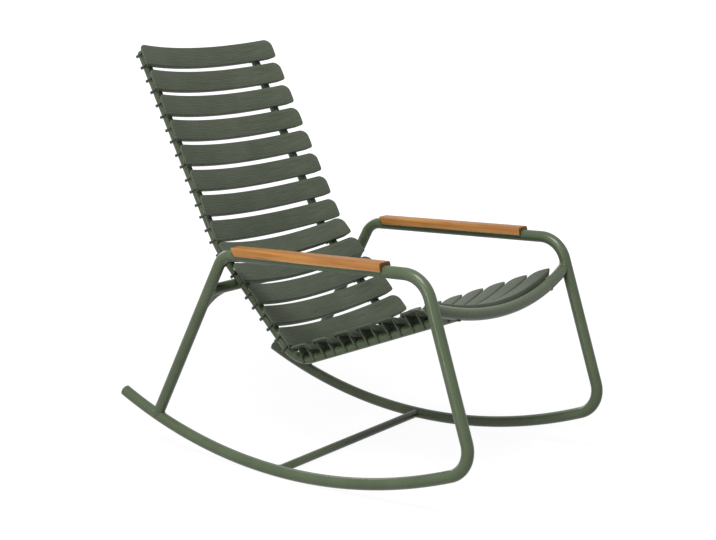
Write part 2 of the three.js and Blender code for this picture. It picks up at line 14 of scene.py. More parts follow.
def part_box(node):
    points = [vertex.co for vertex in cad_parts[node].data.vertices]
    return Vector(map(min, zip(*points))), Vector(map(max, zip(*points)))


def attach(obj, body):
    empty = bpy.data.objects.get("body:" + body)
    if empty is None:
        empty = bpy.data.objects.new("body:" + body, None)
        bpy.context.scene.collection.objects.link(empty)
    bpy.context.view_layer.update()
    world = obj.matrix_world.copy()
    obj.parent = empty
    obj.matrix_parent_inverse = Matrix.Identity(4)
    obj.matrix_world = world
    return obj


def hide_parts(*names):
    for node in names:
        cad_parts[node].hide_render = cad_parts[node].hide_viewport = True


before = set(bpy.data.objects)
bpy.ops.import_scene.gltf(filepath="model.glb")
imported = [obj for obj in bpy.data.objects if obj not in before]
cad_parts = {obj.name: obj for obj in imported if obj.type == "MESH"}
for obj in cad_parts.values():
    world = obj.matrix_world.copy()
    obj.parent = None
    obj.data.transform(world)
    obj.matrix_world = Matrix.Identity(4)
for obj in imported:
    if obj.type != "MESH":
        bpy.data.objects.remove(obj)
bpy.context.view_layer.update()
scene = bpy.context.scene

MM = 0.001
SAME_PLACE = 0.01 * MM

# Side frames
FRAME_R = 13.5 * MM
FRAME_X = 284.5 * MM
ROCKER_RADIUS = 1230 * MM
ROCKER_REAR_REACH = 504 * MM
FRONT_BOTTOM_BEND = 63 * MM
FRONT_LEG_LEAN = math.radians(17.75)
FRONT_CORNER = Vector((378 * MM, 513 * MM))
FRONT_TOP_BEND = 66 * MM
ARM_FALL = math.radians(1.65)
REAR_CORNER_BACK = 172 * MM
REAR_TOP_BEND = 46 * MM
REAR_LEG_FOOT_BACK = 395 * MM

# Seat and back rails
RAIL_R = 11 * MM
RAIL_X = 196.5 * MM
SEAT_CORNER = Vector((-29 * MM, 247.5 * MM))
SEAT_RISE = math.radians(21.3)
SEAT_BEND = 69 * MM
LOWER_BACK_LENGTH = 338 * MM
LOWER_BACK_LEAN = math.radians(44.4)
BACK_BEND = 208 * MM
UPPER_BACK_LENGTH = 510 * MM
UPPER_BACK_LEAN = math.radians(27.7)

# Cross tubes and gussets
FRONT_TUBE_SAG = 50 * MM
FRONT_TUBE_SETBACK = 6 * MM
FRONT_TUBE_LIFT = 4.5 * MM
LOWER_TUBE_R = 10 * MM
LOWER_TUBE_BACK = 21 * MM
GUSSET_THICKNESS = 5 * MM
GUSSET_INBOARD = 88 * MM
GUSSET_DOWN = 92 * MM
GUSSET_END_DEPTH = 1 * MM
GUSSET_EDGE = 1.2 * MM
GUSSET_STEPS = 20

# Weld beads: their waves, and how far they stand proud, are shares of their radius
WELD_R = 1.5 * MM
FILLET_R = 2.4 * MM
BEAD_PROUD = 0.2
BEAD_WAVE = 0.14
BEAD_WAVE_ANGLE = 2.4

# Slats
SLAT_LENGTH = 474 * MM
SLAT_WIDTH = 51.5 * MM
SLAT_PLATE = 3.2 * MM
SLAT_REAR_RIM = 6 * MM
SLAT_FRONT_RIM = 14 * MM
SLAT_END_DEPTH = 4.5 * MM
SLAT_RIM_WIDTH = 3 * MM
SLAT_RIM_TURN = 20 * MM
SLAT_END_BLEND_FROM = 14 * MM
SLAT_END_BLEND_TO = 5 * MM
SLAT_NOSE = 1.2 * MM
SLAT_NOSE_WIDTH = 17 * MM
SLAT_TOP_EDGE = 1.6 * MM
SLAT_RIM_EDGE = 0.6 * MM
SLAT_DISH_RADIUS = 810 * MM
SLAT_MIDDLE_RISE = 5.3 * MM
SLAT_REAR_CORNER = 21.5 * MM
SLAT_FRONT_CORNER = 6 * MM
SLAT_SLICE = 10.5 * MM
SLAT_SLICES_PER_HALF = 22
SLAT_ROWS = (-20 * MM, -16 * MM, -11 * MM, -2 * MM, 7 * MM)
UPPER_SLATS = 8
UPPER_SLAT_PITCH = 64.8 * MM
UPPER_SLAT_INSET = 21.5 * MM
LOWER_SLATS = 5
LOWER_SLAT_PITCH = 63 * MM
LOWER_SLAT_OFFSET = 56.5 * MM
SEAT_SLATS = 7
SEAT_SLAT_PITCH = 64.5 * MM
SEAT_SLAT_OFFSET = 43.3 * MM

# Clips under the slats
GAP = 0.3 * MM
CLIP_WALL = 3.2 * MM
CLIP_LENGTH = 4 * MM
CLIP_SPACING = 30 * MM
CLIP_FLARE = 12 * MM
CLIP_WAIST_FLARE = CLIP_FLARE * 0.3
CLIP_WAIST_LEVEL = 0.42
CLIP_ROUND_SHARE = 0.55
CLIP_EDGE = 0.5 * MM
BACK_CLIP_GRIP = math.radians(48)
BACK_CLIP_LIP = 2.6 * MM
LIP_LENGTH = 7 * MM
LIP_FROM = RAIL_R / 4
LIP_FULL = RAIL_R * 0.8
SEAT_CLIP_GRIP = math.radians(38)

# Arm caps and their screws
CAP_LENGTH = 408.5 * MM
CAP_FRONT_LEAN = 2 * MM
CAP_REAR_LEAN = 13 * MM
CAP_FRONT_BACK = 98 * MM
CAP_WIDTH = 40 * MM
CAP_ABOVE_TUBE = 7 * MM
CAP_SKIRT_RISE = 1.2 * MM
CAP_SHOULDER = 6 * MM
CAP_LIP_CHAMFER = 2 * MM
CAP_EDGE = 0.8 * MM
SCREW_SHANK_R = 2.5 * MM
SCREW_HEAD_R = 4.5 * MM
SCREW_HEAD_HEIGHT = 2.6 * MM
SCREW_RECESS = 1 * MM
SCREW_INSET = 70 * MM

# How finely round shapes are cut, and what counts as a sharp or a smooth edge
TUBE_SIDES = 48
RAIL_SIDES = 40
CUTTER_SIDES = 24
BEAD_RESOLUTION = 3
EDGE_STEPS = 3
FINE_EDGE_STEPS = 2
SLAT_TOP_EDGE_STEPS = 4
SLAT_REAR_CORNER_STEPS = 10
SLAT_FRONT_CORNER_STEPS = 6
ROCKER_STEPS = 72
BOTTOM_BEND_STEPS = 28
FRONT_BEND_STEPS = 24
ARM_PIECES = 16
REAR_BEND_STEPS = 20
BACK_BEND_STEPS = 10
SEAT_BEND_STEPS = 20
BOW_STEPS = 48
CLIP_SIDE_STEPS = 5
CLIP_BORE_STEPS = 30
CAP_SHOULDER_STEPS = 8
CAP_GROOVE_STEPS = 28
SHARP_FROM = 0.5
SMOOTH_BELOW = math.radians(38)

# The search for where a tube's end meets another tube
LAND_REACH = 3 * FRAME_R
LAND_STEPS = 120
LAND_HALVINGS = 20

SIDES = (("left", 1), ("right", -1))
SIDE_AXIS = Vector((-1, 0, 0))
WIDTH_AXIS = Vector((1, 0, 0))


# Blender helpers
def new_mesh(name, bm):
    mesh = bpy.data.meshes.new(name)
    bm.to_mesh(mesh)
    bm.free()
    return mesh


def new_object(name, data):
    made = bpy.data.objects.new(name, data)
    scene.collection.objects.link(made)
    return made


# The camera of the photograph
CAMERA_PLACE = Vector((-2630.7 * MM, -1964 * MM, 1075.5 * MM))
CAMERA_AZIMUTH = math.radians(-53.318)
CAMERA_ELEVATION = math.radians(11.032)
CAMERA_LENS = 70.95
CAMERA_SENSOR = 36

camera_data = bpy.data.cameras.new("camera")
camera_data.lens = CAMERA_LENS
camera_data.sensor_width = CAMERA_SENSOR
camera = new_object("camera", camera_data)
camera.location = CAMERA_PLACE
camera.rotation_euler = (math.pi / 2 - CAMERA_ELEVATION, 0, CAMERA_AZIMUTH)
scene.camera = camera


# Side-view geometry
def heading(angle):
    return Vector((math.cos(angle), math.sin(angle)))


def left_of(direction):
    return Vector((-direction.y, direction.x))


def turn_between(before, after):
    return math.atan2(before.cross(after), before.dot(after))


def crossing(a, d, b, e):
    """Where the line through a along d meets the line through b along e."""
    gap = b - a
    return a + d * (gap.cross(e) / d.cross(e))


class Bend:
    """The left-hand bend that rounds a corner between two directions of travel."""

    def __init__(self, corner, before, after, radius):
        self.turn = turn_between(before, after)
        self.start = corner - before * (radius * math.tan(self.turn / 2))
        self.end = corner + after * (radius * math.tan(self.turn / 2))
        self.centre = self.start + left_of(before) * radius
        self.radius = radius


rocker_centre = Vector((0, FRAME_R + ROCKER_RADIUS))


def rocker_point(forward):
    return Vector((forward, rocker_centre.y - math.sqrt(ROCKER_RADIUS**2 - forward**2)))


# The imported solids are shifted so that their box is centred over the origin
lower_low, lower_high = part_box("lower_cross_tube")
lower_middle = (lower_low + lower_high) / 2
lower_tube = rocker_point(-LOWER_TUBE_BACK)
SHIFT = Vector((0, lower_middle.y + lower_tube.x, lower_middle.z - lower_tube.y))


def space(x, point):
    return Vector((x, -point.x, point.y)) + SHIFT


def space_direction(direction):
    return Vector((0, -direction.x, direction.y))


# Side frame
leg_up = heading(math.pi / 2 + FRONT_LEG_LEAN)
arm_back = heading(math.pi + ARM_FALL)
arm_up = -left_of(arm_back)
rear_corner = FRONT_CORNER + arm_back * ((FRONT_CORNER.x + REAR_CORNER_BACK) / math.cos(ARM_FALL))
rear_foot = rocker_point(-REAR_LEG_FOOT_BACK)
rear_leg_down = (rear_foot - rear_corner).normalized()
front_top_bend = Bend(FRONT_CORNER, leg_up, arm_back, FRONT_TOP_BEND)
rear_top_bend = Bend(rear_corner, arm_back, rear_leg_down, REAR_TOP_BEND)


def front_bottom_centre():
    """Centre of the bend that touches both the rocker's arc and the front leg's line."""
    on_offset_line = FRONT_CORNER + left_of(leg_up) * FRONT_BOTTOM_BEND - rocker_centre
    reach = ROCKER_RADIUS - FRONT_BOTTOM_BEND
    b = on_offset_line.dot(leg_up)
    c = on_offset_line.length_squared - reach**2
    return rocker_centre + on_offset_line + leg_up * (-b - math.sqrt(b * b - c))


bottom_centre = front_bottom_centre()
bottom_spoke = bottom_centre - rocker_centre
rocker_front_angle = math.atan2(bottom_spoke.y, bottom_spoke.x)
rocker_rear_angle = -math.pi / 2 - math.asin(ROCKER_REAR_REACH / ROCKER_RADIUS)
rocker_end = rocker_centre + heading(rocker_rear_angle) * ROCKER_RADIUS
rocker_end_direction = left_of(heading(rocker_rear_angle))
bottom_end = bottom_centre + heading(FRONT_LEG_LEAN) * FRONT_BOTTOM_BEND

# Rails
seat_forward = heading(SEAT_RISE)
seat_up = left_of(seat_forward)
lower_down = heading(-math.pi / 2 + LOWER_BACK_LEAN)
upper_down = heading(-math.pi / 2 + UPPER_BACK_LEAN)
back_corner = SEAT_CORNER - lower_down * LOWER_BACK_LENGTH
rail_top = back_corner - upper_down * UPPER_BACK_LENGTH
back_bend = Bend(back_corner, upper_down, lower_down, BACK_BEND)
seat_bend = Bend(SEAT_CORNER, lower_down, seat_forward, SEAT_BEND)

# Front cross tube: a shallow bow from leg to leg
bow_radius = (FRAME_X**2 + FRONT_TUBE_SAG**2) / (2 * FRONT_TUBE_SAG)


def bow_rise(x):
    return bow_radius - math.sqrt(bow_radius**2 - x**2)


rail_rise = FRONT_TUBE_SAG - bow_rise(RAIL_X) + FRONT_TUBE_LIFT
front_line = FRONT_CORNER + left_of(leg_up) * FRONT_TUBE_SETBACK
front_tube_end = crossing(SEAT_CORNER + seat_up * rail_rise, seat_forward, front_line, leg_up)
front_tube_middle = front_tube_end - seat_up * FRONT_TUBE_SAG
rail_front = front_tube_end - seat_up * rail_rise

# Rear cross tube: against the back of both rails, in line with the rear legs
rear_offset_line = SEAT_CORNER - left_of(lower_down) * (RAIL_R + FRAME_R + GAP)
rear_tube = crossing(rear_offset_line, lower_down, rear_corner, rear_leg_down)


# Mesh helpers
def finish_mesh(name, bm, material, *, sharp=SMOOTH_BELOW):
    """Makes the piece, smooth but for its sharp edges, riding on the chair's one body."""
    mesh = new_mesh(name, bm)
    mesh.materials.append(material)
    mesh.polygons.foreach_set("use_smooth", [True] * len(mesh.polygons))
    mesh.set_sharp_from_angle(angle=sharp)
    piece = new_object(name, mesh)
    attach(piece, "root")
    return piece


def basis(across, up, along, place):
    """A matrix that takes X to across, Y to up and Z to along, at a place."""
    turned = Matrix((across, up, along)).transposed().to_4x4()
    return Matrix.Translation(place) @ turned


def edges_of(geometry):
    return [part for part in geometry if isinstance(part, bmesh.types.BMEdge)]


def verts_of(geometry):
    return [part for part in geometry if isinstance(part, bmesh.types.BMVert)]


class Tube:
    """A round tube grown from an open ring by straight runs and bends."""

    def __init__(self, place, direction, radius, sides=TUBE_SIDES):
        self.bm = bmesh.new()
        across = WIDTH_AXIS if abs(direction.x) < 0.5 else Vector((0, 1, 0))
        along = direction.normalized()
        up = along.cross(across).normalized()
        matrix = basis(up.cross(along), up, along, place)
        made = bmesh.ops.create_circle(self.bm, segments=sides, radius=radius, matrix=matrix)
        self.first = made["verts"]
        self.ring = self.bm.edges[:]

    def run(self, step, pieces=1):
        for _ in range(pieces):
            grown = bmesh.ops.extrude_edge_only(self.bm, edges=self.ring)["geom"]
            bmesh.ops.translate(self.bm, verts=verts_of(grown), vec=step / pieces)
            self.ring = edges_of(grown)

    def turn(self, centre, axis, angle, steps):
        grown = bmesh.ops.spin(
            self.bm, geom=self.ring, cent=centre, axis=axis,
            angle=angle, steps=steps, use_merge=False,
        )
        self.ring = edges_of(grown["geom_last"])

    def bend(self, x, bend, steps):
        """Turns round a bend of the side view."""
        self.turn(space(x, bend.centre), SIDE_AXIS, bend.turn, steps)

    def last(self):
        """The last ring's corners, in the same order each run."""
        return list(dict.fromkeys(vert for edge in self.ring for vert in edge.verts))

    def close(self):
        """Caps both ends."""
        ends = [edge for edge in self.bm.edges if edge.is_boundary]
        bmesh.ops.edgeloop_fill(self.bm, edges=ends)
        bmesh.ops.recalc_face_normals(self.bm, faces=self.bm.faces[:])
        return self.bm


class Outline:
    """A closed outline drawn in the XY plane by strokes and arcs, then thickened along Z."""

    def __init__(self, x, y):
        self.bm = bmesh.new()
        self.first = self.bm.verts.new((x, y, 0))
        self.pen = self.first

    def to(self, x, y):
        self.pen = bmesh.ops.extrude_vert_indiv(self.bm, verts=[self.pen])["verts"][0]
        self.pen.co = (x, y, 0)
        return self

    def arc(self, centre, angle, steps):
        """Swings the pen round a centre."""
        swung = bmesh.ops.spin(
            self.bm, geom=[self.pen], cent=(*centre, 0), axis=(0, 0, 1),
            angle=angle, steps=steps,
        )
        self.pen = verts_of(swung["geom_last"])[0]
        return self

    def thicken(self, depth):
        bmesh.ops.contextual_create(self.bm, geom=[self.pen, self.first])
        bmesh.ops.edgeloop_fill(self.bm, edges=self.bm.edges[:])
        grown = bmesh.ops.extrude_face_region(self.bm, geom=self.bm.faces[:])
        bmesh.ops.translate(self.bm, verts=verts_of(grown["geom"]), vec=(0, 0, depth))
        bmesh.ops.recalc_face_normals(self.bm, faces=self.bm.faces[:])
        return self.bm


def rim_edges(bm):
    """The sharp edges round an outline's two flat faces."""
    flats = [face for face in bm.faces if abs(face.normal.z) > 0.7]
    edges = [edge for face in flats for edge in face.edges]
    return [edge for edge in edges if edge.calc_face_angle(0) > SHARP_FROM]


def round_edges(bm, edges, radius, segments):
    bmesh.ops.bevel(
        bm, geom=edges, offset=radius, offset_type="OFFSET", segments=segments,
        profile=0.5, affect="EDGES", material=-1,
    )


def land(verts, direction, distance):
    """Slides each vertex along a direction to where it first meets another tube's surface."""
    for vert in verts:
        start = vert.co.copy()
        stops = [LAND_REACH * (2 * index / LAND_STEPS - 1) for index in range(LAND_STEPS + 1)]
        gaps = [distance(start + direction * stop) for stop in stops]
        hit = next((index for index, gap in enumerate(gaps) if gap <= 0), None)
        if hit is None:
            vert.co = start + direction * stops[gaps.index(min(gaps))]
            continue
        low, high = stops[max(hit - 1, 0)], stops[hit]
        for _ in range(LAND_HALVINGS):
            middle = (low + high) / 2
            if distance(start + direction * middle) > 0:
                low = middle
            else:
                high = middle
        vert.co = start + direction * low


def to_line(point, through, direction, radius):
    return (point - through).cross(direction).length - radius


def to_rocker(point, x):
    centre = space(x, rocker_centre)
    in_plane = math.hypot(point.y - centre.y, point.z - centre.z) - ROCKER_RADIUS
    return math.hypot(in_plane, point.x - x) - FRAME_R


bow_centre = space(0, front_tube_middle + seat_up * bow_radius)
bow_normal = space_direction(seat_forward)


def to_front_tube(point):
    arm = point - bow_centre
    out_of_plane = arm.dot(bow_normal)
    in_plane = (arm - bow_normal * out_of_plane).length - bow_radius
    return math.hypot(in_plane, out_of_plane) - FRAME_R


def to_front_leg(point, x):
    return to_line(point, space(x, FRONT_CORNER), space_direction(leg_up), FRAME_R)


def to_rear_leg(point, x):
    return to_line(point, space(x, rear_corner), space_direction(rear_leg_down), FRAME_R)


def bead(name, verts, radius):
    """A weld bead laid round a ring of vertices."""
    middle = sum((vert.co for vert in verts), Vector()) / len(verts)
    order = walk_ring(verts)
    curve = bpy.data.curves.new(name, "CURVE")
    curve.dimensions = "3D"
    curve.bevel_depth = radius
    curve.bevel_resolution = BEAD_RESOLUTION
    spline = curve.splines.new("POLY")
    spline.points.add(len(order) - 1)
    for index, co in enumerate(order):
        outward = (co - middle).normalized() * (radius * BEAD_PROUD)
        spline.points[index].co = (*(co + outward), 1)
        spline.points[index].radius = 1 + BEAD_WAVE * math.sin(index * BEAD_WAVE_ANGLE)
    spline.use_cyclic_u = True
    holder = new_object(name, curve)
    bm = bmesh.new()
    bm.from_mesh(holder.to_mesh())
    bpy.data.objects.remove(holder)
    bmesh.ops.remove_doubles(bm, verts=bm.verts[:], dist=SAME_PLACE)
    bmesh.ops.recalc_face_normals(bm, faces=bm.faces[:])
    piece = finish_mesh(name, bm, frame_paint, sharp=math.pi)


def weld_end(name, verts, direction, distance, radius=WELD_R):
    """Fits a tube's end to the tube it meets, and lays the bead round it."""
    land(verts, direction, distance)
    bead(name, verts, radius)


def walk_ring(verts):
    """The ring's corners in order round it."""
    members = set(verts)
    order = [verts[0]]
    seen = {verts[0]}
    while len(order) < len(verts):
        here = order[-1]
        following = next(
            (
                edge.other_vert(here)
                for edge in here.link_edges
                if edge.other_vert(here) in members and edge.other_vert(here) not in seen
            ),
            None,
        )
        if following is None:
            break
        order.append(following)
        seen.add(following)
    return [vert.co.copy() for vert in order]


# Materials
def new_material(name):
    material = bpy.data.materials.new(name)
    material.use_nodes = True
    tree = material.node_tree
    shader = tree.nodes["Principled BSDF"]
    return material, tree, shader


def set_input(tree, slot, value):
    """Links an input to a socket, or sets it to plain numbers."""
    if isinstance(value, bpy.types.NodeSocket):
        tree.links.new(value, slot)
    else:
        slot.default_value = value


def feed(tree, made, **inputs):
    """Sets a node's inputs by name, with _ for a space."""
    for name, value in inputs.items():
        set_input(tree, made.inputs[name.replace("_", " ")], value)


def node(tree, kind, **inputs):
    made = tree.nodes.new(kind)
    feed(tree, made, **inputs)
    return made


def maths(tree, operation, *values):
    made = tree.nodes.new("ShaderNodeMath")
    made.operation = operation
    for slot, value in zip(made.inputs, values):
        set_input(tree, slot, value)
    return made.outputs["Value"]


def mix(tree, factor, first, second, blend="MIX"):
    """Blends two colours by a factor."""
    made = tree.nodes.new("ShaderNodeMix")
    made.data_type = "RGBA"
    made.blend_type = blend
    feed(tree, made, Factor=factor, A=first, B=second)
    return made.outputs["Result"]


def span(tree, value, low, high, to_low=0.0, to_high=1.0):
    """Maps a value from one span to another, held at its ends."""
    made = node(
        tree, "ShaderNodeMapRange", Value=value,
        From_Min=low, From_Max=high, To_Min=to_low, To_Max=to_high,
    )
    return made.outputs["Result"]


def bump(tree, height, distance, strength, under=None):
    made = node(tree, "ShaderNodeBump", Height=height, Distance=distance, Strength=strength)
    if under is not None:
        feed(tree, made, Normal=under)
    return made.outputs["Normal"]


def noise_on(tree, place, scale, detail, stretch):
    mapping = node(tree, "ShaderNodeMapping", Vector=place, Scale=stretch)
    stretched = mapping.outputs["Vector"]
    noise = node(tree, "ShaderNodeTexNoise", Vector=stretched, Scale=scale, Detail=detail)
    return noise.outputs["Fac"]


def object_place(tree):
    return tree.nodes.new("ShaderNodeTexCoord").outputs["Object"]


def object_noise(tree, scale, detail=4.0, stretch=(1, 1, 1)):
    return noise_on(tree, object_place(tree), scale, detail, stretch)


def slat_map(tree):
    """A slat's own map: metres along it and across it."""
    own_map = tree.nodes.new("ShaderNodeUVMap")
    own_map.uv_map = "slat"
    return own_map.outputs["UV"]


# The parts of a noise's range that are spread over a whole mix
NOISE_MOST = (0.3, 0.7)
NOISE_MIDDLE = (0.35, 0.65)
NOISE_PEAKS = (0.56, 0.7)

PORE_TINT = (0.5, 0.34, 0.2, 1)


def weighted(tree, *parts):
    """The sum of several values, each times its weight."""
    total = 0
    for value, weight in parts:
        total = maths(tree, "MULTIPLY_ADD", value, weight, total)
    return total


def powder_coat(name, dark, light, roughness, specular=0.32):
    """Satin powder coat: fine orange peel and a slow drift of tone."""
    material, tree, shader = new_material(name)
    drift = object_noise(tree, scale=14)
    fine = object_noise(tree, scale=420, detail=2)
    tone = mix(tree, span(tree, drift, *NOISE_MIDDLE), dark, light)
    gloss = span(tree, fine, *NOISE_MOST, roughness - 0.05, roughness + 0.06)
    peel = bump(tree, fine, distance=0.12 * MM, strength=0.5)
    feed(tree, shader, Base_Color=tone, Roughness=gloss, Normal=peel, Specular_IOR_Level=specular)
    return material


def moulded_plastic(name, dark, light, specular=0.16):
    """Matt moulded plastic brushed with fine ribs along the slat, with painted shade in the grooves
    between the ribs, and a slight grain.
    """
    material, tree, shader = new_material(name)
    wave = node(
        tree, "ShaderNodeTexWave", Vector=slat_map(tree),
        Scale=78.0, Distortion=2.2, Detail=2.0, Detail_Scale=0.3,
    )
    wave.bands_direction = "Y"
    ribs = wave.outputs["Fac"]
    streaks = noise_on(tree, slat_map(tree), scale=240, detail=4, stretch=(0.06, 1, 1))
    drift = object_noise(tree, scale=9, detail=3)
    grain = object_noise(tree, scale=700, detail=2)
    # The ribs' share of the tone is painted shade, darker in their grooves; the streaks and the
    # drift are random tone
    share = weighted(
        tree,
        (ribs, 0.34),
        (span(tree, streaks, *NOISE_MOST), 0.46),
        (span(tree, drift, *NOISE_MIDDLE), 0.2),
    )
    tone = mix(tree, share, dark, light)
    gloss = span(tree, streaks, *NOISE_MOST, to_low=0.5, to_high=0.64)
    grained = bump(tree, grain, distance=0.1 * MM, strength=0.4)
    ribbed = bump(tree, ribs, distance=0.35 * MM, strength=0.7, under=grained)
    brushed = bump(tree, streaks, distance=0.3 * MM, strength=0.6, under=ribbed)
    feed(
        tree, shader, Base_Color=tone, Roughness=gloss, Normal=brushed,
        Specular_IOR_Level=specular,
    )
    return material


def oiled_wood(name, dark, light, roughness=0.48, specular=0.25):
    """Oiled hardwood with straight grain along the arm, dark pores and a slow drift of tone."""
    material, tree, shader = new_material(name)
    figure = object_noise(tree, scale=95, detail=5, stretch=(1, 0.035, 1))
    pores = object_noise(tree, scale=620, detail=2, stretch=(1, 0.025, 1))
    drift = object_noise(tree, scale=11, detail=2, stretch=(1, 0.4, 1))
    share = weighted(
        tree,
        (span(tree, figure, *NOISE_MOST), 0.62),
        (span(tree, drift, *NOISE_MOST), 0.38),
    )
    tone = mix(tree, share, dark, light)
    pore_share = span(tree, pores, *NOISE_PEAKS, to_high=0.6)
    pored = mix(tree, pore_share, tone, PORE_TINT, "MULTIPLY")
    gloss = span(tree, figure, *NOISE_MOST, roughness - 0.06, roughness + 0.06)
    relief = bump(tree, pores, distance=0.15 * MM, strength=0.5)
    feed(
        tree, shader, Base_Color=pored, Roughness=gloss, Normal=relief,
        Specular_IOR_Level=specular,
    )
    return material


frame_paint = powder_coat("frame_paint", (0.062, 0.084, 0.044, 1), (0.075, 0.099, 0.053, 1), 0.3)
plug_plastic = powder_coat("plug_plastic", (0.05, 0.062, 0.038, 1), (0.06, 0.074, 0.047, 1), 0.5)
slat_plastic = moulded_plastic("slat_plastic", (0.04, 0.0505, 0.0325, 1), (0.107, 0.124, 0.09, 1))
arm_wood = oiled_wood("arm_wood", (0.235, 0.088, 0.02, 1), (0.48, 0.23, 0.065, 1))
# End faces: darker end grain, darkened further with painted shade
end_grain_and_shade = oiled_wood("end_grain_and_shade", (0.1, 0.035, 0.012, 1), (0.19, 0.075, 0.026, 1), 0.6)
# Downward lip faces: a pale painted highlight
lip_highlight = oiled_wood("lip_highlight", (0.24, 0.12, 0.045, 1), (0.8, 0.62, 0.4, 1), 0.6)
screw_steel = powder_coat("screw_steel", (0.42, 0.42, 0.42, 1), (0.5, 0.5, 0.5, 1), 0.32)
screw_steel.node_tree.nodes["Principled BSDF"].inputs["Metallic"].default_value = 1


# Tubes
def screw_cutter(x, inset):
    """The room for one cap screw: a recess for its head and a narrower hole for its shank."""
    axis_point = space(x, FRONT_CORNER + arm_back * (CAP_FRONT_BACK + inset))
    up = space_direction(arm_up)
    seat = SCREW_RECESS + SCREW_HEAD_HEIGHT + GAP - FRAME_R
    past = 2 * FRAME_R
    cutter = Tube(axis_point - up * past, up, SCREW_HEAD_R + GAP, CUTTER_SIDES)
    cutter.run(up * (past + seat))
    cutter.run(Vector())
    narrow = (SCREW_SHANK_R + GAP) / (SCREW_HEAD_R + GAP)
    to_seat = Matrix.Translation(-axis_point - up * seat)
    bmesh.ops.scale(cutter.bm, vec=(narrow, narrow, narrow), space=to_seat, verts=cutter.last())
    cutter.run(up * (past - seat))
    return cutter.close()


def drilled(bm, cutters):
    """Cuts the cutters out of a closed shape."""
    stock_object = new_object("stock", new_mesh("stock", bm))
    tools = [new_object("cutter", new_mesh("cutter", cutter)) for cutter in cutters]
    for tool in tools:
        cut = stock_object.modifiers.new("cut", "BOOLEAN")
        cut.operation = "DIFFERENCE"
        cut.solver = "EXACT"
        cut.object = tool
    bpy.context.view_layer.update()
    result = bmesh.new()
    result.from_object(stock_object, bpy.context.evaluated_depsgraph_get())
    for spent in (stock_object, *tools):
        bpy.data.objects.remove(spent)
    return result


def make_side_frame(name, x):
    start = space(x, rocker_end)
    tube = Tube(start, space_direction(rocker_end_direction), FRAME_R)
    rocker_sweep = rocker_front_angle - rocker_rear_angle
    tube.turn(space(x, rocker_centre), SIDE_AXIS, rocker_sweep, ROCKER_STEPS)
    bottom_sweep = FRONT_LEG_LEAN - rocker_front_angle
    tube.turn(space(x, bottom_centre), SIDE_AXIS, bottom_sweep, BOTTOM_BEND_STEPS)
    tube.run(space_direction(front_top_bend.start - bottom_end))
    tube.bend(x, front_top_bend, FRONT_BEND_STEPS)
    tube.run(space_direction(rear_top_bend.start - front_top_bend.end), ARM_PIECES)
    tube.bend(x, rear_top_bend, REAR_BEND_STEPS)
    tube.run(space_direction(rear_foot - rear_top_bend.end))
    down = space_direction(rear_leg_down)
    weld_end(f"rear_leg_weld_{name}", tube.last(), down, lambda point: to_rocker(point, x))
    cutters = [screw_cutter(x, inset) for inset in (SCREW_INSET, CAP_LENGTH - SCREW_INSET)]
    piece = finish_mesh(f"side_frame_tube_{name}", drilled(tube.close(), cutters), frame_paint)
    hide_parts(f"side_frame_{name}")


def make_rail(name, x):
    tube = Tube(space(x, rail_top), space_direction(upper_down), RAIL_R, RAIL_SIDES)
    tube.run(space_direction(back_bend.start - rail_top))
    tube.bend(x, back_bend, BACK_BEND_STEPS)
    tube.run(space_direction(seat_bend.start - back_bend.end))
    tube.bend(x, seat_bend, SEAT_BEND_STEPS)
    tube.run(space_direction(rail_front - seat_bend.end))
    weld_end(f"rail_weld_{name}", tube.last(), space_direction(seat_forward), to_front_tube)
    piece = finish_mesh(f"rail_tube_{name}", tube.close(), frame_paint)
    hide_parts(f"rail_{name}")


def weld_sides(name, tube, distance, weld=WELD_R):
    """Fits and welds a tube's two ends to the left and the right side frame."""
    left, right = f"{name}_weld_left", f"{name}_weld_right"
    weld_end(left, tube.last(), WIDTH_AXIS, lambda point: distance(point, FRAME_X), weld)
    weld_end(right, tube.first, -WIDTH_AXIS, lambda point: distance(point, -FRAME_X), weld)


def make_cross(name, node_name, place, radius, distance, weld=WELD_R):
    """A straight tube between the side frames."""
    tube = Tube(space(-FRAME_X, place), WIDTH_AXIS, radius)
    tube.run(Vector((2 * FRAME_X, 0, 0)))
    weld_sides(name, tube, distance, weld)
    piece = finish_mesh(name, tube.close(), frame_paint)
    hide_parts(node_name)


def make_front_tube():
    """The bowed tube between the front legs."""
    reach = math.asin(FRAME_X / bow_radius)
    start = bow_centre + Vector((-bow_radius * math.sin(reach), 0, 0))
    start -= space_direction(seat_up) * (bow_radius * math.cos(reach))
    direction = Vector((math.cos(reach), 0, 0)) - space_direction(seat_up) * math.sin(reach)
    tube = Tube(start, direction, FRAME_R)
    tube.turn(bow_centre, bow_normal, 2 * reach, BOW_STEPS)
    weld_sides("front_tube", tube, to_front_leg)
    piece = finish_mesh("front_tube", tube.close(), frame_paint)
    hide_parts("front_cross_tube")


for side_name, sign in SIDES:
    make_side_frame(side_name, sign * FRAME_X)
    make_rail(side_name, sign * RAIL_X)
make_front_tube()
make_cross("rear_tube", "rear_cross_tube", rear_tube, FRAME_R, to_rear_leg, FILLET_R)
make_cross("lower_tube", "lower_cross_tube", lower_tube, LOWER_TUBE_R, to_rocker)


# Slats, in their own frame: x across, y up the back or rearward on the seat, z toward the sitter
def dish(x):
    return SLAT_DISH_RADIUS - math.sqrt(SLAT_DISH_RADIUS**2 - x**2)


def smooth(value, low, high):
    share = min(max((value - low) / (high - low), 0), 1)
    return share * share * (3 - 2 * share)


def rim_depth(x, y):
    """How deep the rim hangs: deepest along the front edge, and shallow at the ends."""
    forward = smooth(-y, -SLAT_RIM_TURN, SLAT_RIM_TURN)
    along = SLAT_REAR_RIM + (SLAT_FRONT_RIM - SLAT_REAR_RIM) * forward
    end = SLAT_LENGTH / 2
    at_end = smooth(abs(x), end - SLAT_END_BLEND_FROM, end - SLAT_END_BLEND_TO)
    return along + (SLAT_END_DEPTH - along) * at_end


